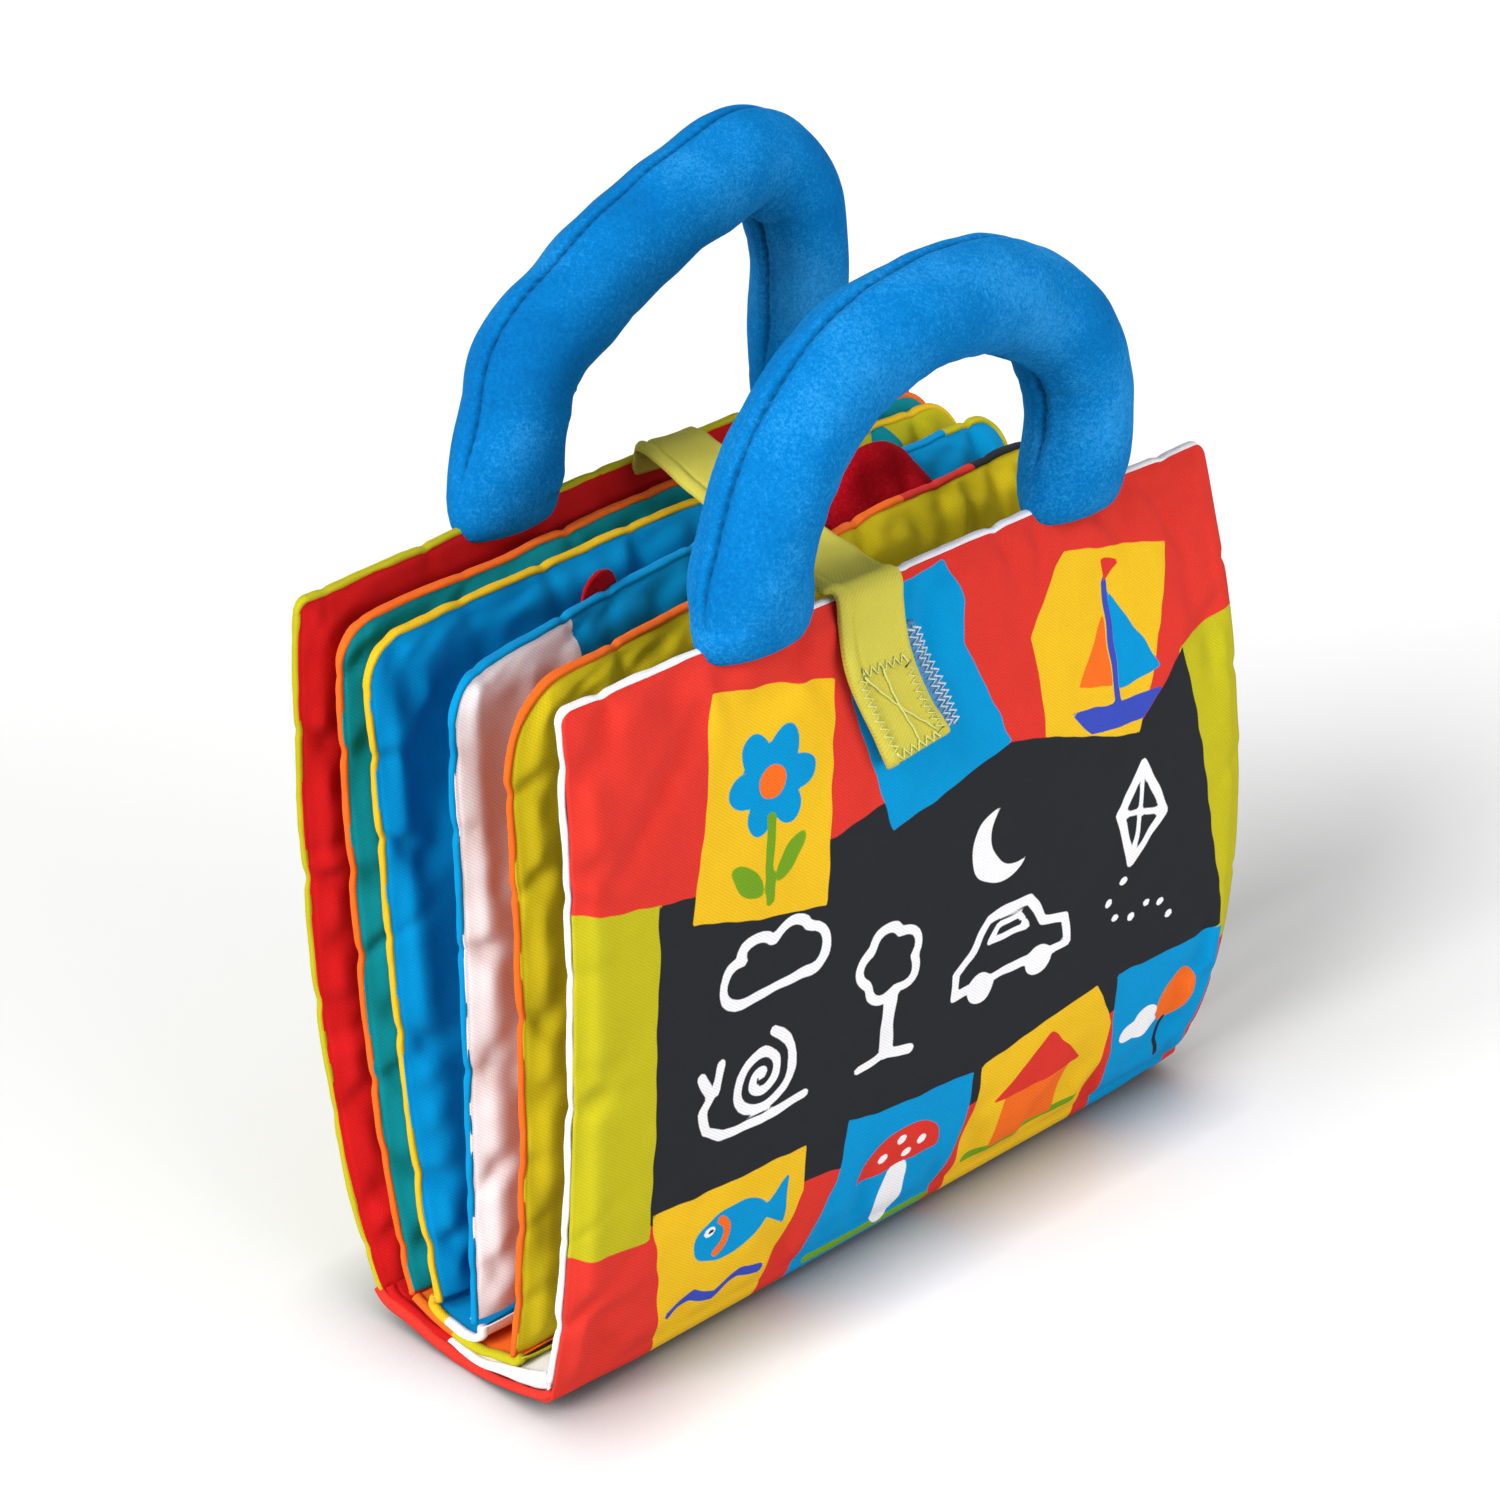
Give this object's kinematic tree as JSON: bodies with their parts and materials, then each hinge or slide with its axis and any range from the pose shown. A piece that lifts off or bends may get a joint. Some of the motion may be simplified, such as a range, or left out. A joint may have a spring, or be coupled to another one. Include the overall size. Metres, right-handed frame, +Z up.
{
  "type": "cloth activity book",
  "caption": "Padded cloth activity book with stuffed velour carry handles and a hook-and-loop strap, standing fanned open on its spine.",
  "frame": {"origin": "middle of the spine's flat underside, on the floor", "axes": "+X runs along the spine, the front cover faces -Y, +Z is up"},
  "size_m": [0.252, 0.1468, 0.2856],
  "materials": {
    "red_cloth": "matt printed plain weave",
    "white_cloth": "matt plain weave",
    "lime_cloth": "matt plain weave",
    "orange_cloth": "matt plain weave",
    "yellow_cloth": "matt plain weave",
    "blue_cloth": "matt plain weave",
    "teal_cloth": "matt plain weave",
    "blue_velour": "short-pile velour with a soft sheen",
    "red_velour": "short-pile velour",
    "red_knit": "ribbed knit tape",
    "lime_twill": "matt twill tape",
    "blue_tape": "hook and loop tape",
    "wadding": "loose polyester wadding",
    "crinkle_film": "thin crackling film",
    "thread": "polyester sewing thread"
  },
  "bodies": {
    "spine": {"spine_outer_cloth": "red_cloth", "spine_wadding": "wadding", "spine_lining": "white_cloth", "outer_fold_outer_cloth": "lime_cloth", "outer_fold_inner_cloth": "orange_cloth", "inner_fold_outer_cloth": "yellow_cloth", "inner_fold_inner_cloth": "blue_cloth", "spine_stitching": "thread"},
    "front_cover": {"front_cover_front_cloth": "red_cloth", "front_cover_back_cloth": "white_cloth", "front_cover_wadding": "wadding", "loop_tape": "blue_tape"},
    "page_1": {"page_1_front_cloth": "lime_cloth", "page_1_back_cloth": "orange_cloth", "page_1_wadding": "wadding", "page_1_crinkle_film": "crinkle_film"},
    "page_2": {"page_2_front_cloth": "white_cloth", "page_2_back_cloth": "blue_cloth", "page_2_wadding": "wadding", "page_2_crinkle_film": "crinkle_film", "velour_pad": "red_velour", "ribbon_tab": "red_knit"},
    "page_3": {"page_3_front_cloth": "blue_cloth", "page_3_back_cloth": "yellow_cloth", "page_3_wadding": "wadding", "page_3_crinkle_film": "crinkle_film"},
    "page_4": {"page_4_front_cloth": "teal_cloth", "page_4_back_cloth": "orange_cloth", "page_4_wadding": "wadding", "page_4_crinkle_film": "crinkle_film"},
    "back_cover": {"back_cover_front_cloth": "red_cloth", "back_cover_back_cloth": "lime_cloth", "back_cover_wadding": "wadding"},
    "front_handle": {"front_handle_sleeve": "blue_velour", "front_handle_stuffing": "wadding"},
    "back_handle": {"back_handle_sleeve": "blue_velour", "back_handle_stuffing": "wadding"},
    "closing_tab": {"closing_strap": "lime_twill", "closing_strap_hook_tape": "blue_tape", "closing_strap_stitching": "thread"}
  },
  "joints": [
    {"name": "front_cover_open", "type": "hinge", "parent": "spine", "child": "front_cover", "pos_m": [0, -0.033, 0.009], "axis": [1, 0, 0], "range_deg": [0, 76]},
    {"name": "page_1_turn", "type": "hinge", "parent": "spine", "child": "page_1", "pos_m": [0, -0.015, 0.0105], "axis": [1, 0, 0], "range_deg": [0, 52]},
    {"name": "page_2_turn", "type": "hinge", "parent": "spine", "child": "page_2", "pos_m": [0, 0, 0.0135], "axis": [1, 0, 0], "range_deg": [0, 28]},
    {"name": "page_3_turn", "type": "hinge", "parent": "spine", "child": "page_3", "pos_m": [0, 0.0141, 0.0135], "axis": [-1, 0, 0], "range_deg": [0, 28]},
    {"name": "page_4_turn", "type": "hinge", "parent": "spine", "child": "page_4", "pos_m": [0, 0.0249, 0.0105], "axis": [-1, 0, 0], "range_deg": [0, 52]},
    {"name": "back_cover_open", "type": "hinge", "parent": "spine", "child": "back_cover", "pos_m": [0, 0.033, 0.009], "axis": [-1, 0, 0], "range_deg": [0, 76]},
    {"name": "front_handle_swing", "type": "hinge", "parent": "front_cover", "child": "front_handle", "pos_m": [0.003, -0.03572, 0.2012], "axis": [0.9986, 0.0522, 0], "range_deg": [-25, 90]},
    {"name": "back_handle_swing", "type": "hinge", "parent": "back_cover", "child": "back_handle", "pos_m": [0.015, 0.07149, 0.2012], "axis": [-0.9925, -0.122, 0], "range_deg": [-25, 90]},
    {"name": "closing_tab_lift", "type": "hinge", "parent": "back_cover", "child": "closing_tab", "pos_m": [0.01411, 0.06565, 0.1987], "axis": [-1, 0, 0], "range_deg": [0, 150], "deforming": ["closing_strap", "closing_strap_hook_tape", "closing_strap_stitching"]}
  ],
  "couplings": [
    {"joint": "page_1_turn", "follows": "front_cover_open", "ratio": 0.68},
    {"joint": "page_2_turn", "follows": "front_cover_open", "ratio": 0.36},
    {"joint": "page_4_turn", "follows": "back_cover_open", "ratio": 0.68},
    {"joint": "page_3_turn", "follows": "back_cover_open", "ratio": 0.36}
  ]
}
